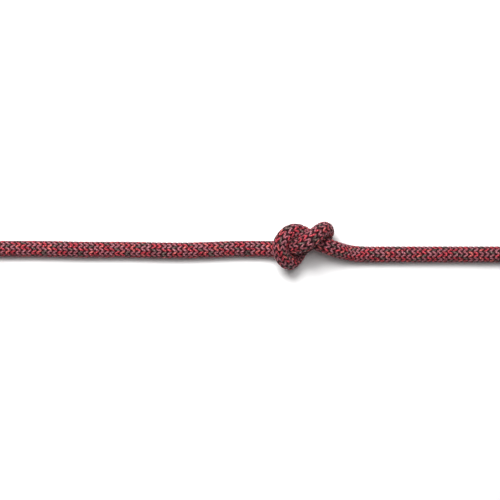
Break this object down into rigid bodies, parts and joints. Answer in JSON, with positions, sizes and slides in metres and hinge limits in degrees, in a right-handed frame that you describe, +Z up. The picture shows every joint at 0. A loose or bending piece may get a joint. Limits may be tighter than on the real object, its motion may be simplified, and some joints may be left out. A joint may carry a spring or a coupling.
{
  "type": "dynamic climbing rope",
  "caption": "Single dynamic climbing rope: braided sheath over twisted core strands, strapped into an oval hank, with one run through an overhand knot to a sealed end.",
  "frame": {"origin": "middle of the underside of the hank, on the surface that the rope lies on", "axes": "+X along the rope from the hank to the sealed tail end, +Y towards the side of the hank where the rope leaves it, +Z up"},
  "size_m": [0.6945, 0.1862, 0.1433],
  "materials": {
    "sheath": "braided polyamide yarns in red, rose, maroon and grey",
    "core": "twisted undyed polyamide strands",
    "thread": "plain dyed identification thread",
    "webbing": "woven dark polyester webbing with stitched tabs",
    "end_sleeve": "satin heat-shrunk plastic",
    "fused_tip": "melted and hardened polyamide"
  },
  "bodies": {
    "hank": {"hank": "sheath", "strap_left": "webbing", "strap_right": "webbing", "lead_sheath": "sheath", "lead_core_1": "core", "lead_core_2": "core", "lead_core_3": "core", "lead_core_4": "core", "lead_core_5": "core", "lead_core_6": "core", "lead_core_7": "core", "lead_thread": "thread", "free_end_sheath": "sheath", "free_end_core": "core", "free_end_sleeve": "end_sleeve", "free_end_tip": "fused_tip"},
    "strap_left_tab": {"strap_left_tab": "webbing"},
    "strap_right_tab": {"strap_right_tab": "webbing"},
    "knot_run": {"knot_sheath": "sheath", "knot_core_1": "core", "knot_core_2": "core", "knot_core_3": "core", "knot_core_4": "core", "knot_core_5": "core", "knot_core_6": "core", "knot_core_7": "core", "knot_thread": "thread"},
    "tail_run": {"tail_sheath": "sheath", "tail_core_1": "core", "tail_core_2": "core", "tail_core_3": "core", "tail_core_4": "core", "tail_core_5": "core", "tail_core_6": "core", "tail_core_7": "core", "tail_thread": "thread", "tail_sleeve": "end_sleeve", "tail_tip": "fused_tip"}
  },
  "joints": [
    {"name": "lead_bend", "type": "hinge", "parent": "hank", "child": "knot_run", "pos_m": [0.26, 0.08, 0.005], "axis": [0, 0, 1], "range_deg": [-60, 60]},
    {"name": "tail_bend", "type": "hinge", "parent": "knot_run", "child": "tail_run", "pos_m": [0.445, 0.077, 0.005], "axis": [0, 0, 1], "range_deg": [-60, 60]},
    {"name": "left_tab_peel", "type": "hinge", "parent": "hank", "child": "strap_left_tab", "pos_m": [-0.06, -0.08755, 0.1], "axis": [-1, 0, 0], "range_deg": [0, 110]},
    {"name": "right_tab_peel", "type": "hinge", "parent": "hank", "child": "strap_right_tab", "pos_m": [0.06, -0.08755, 0.1], "axis": [-1, 0, 0], "range_deg": [0, 110]}
  ]
}
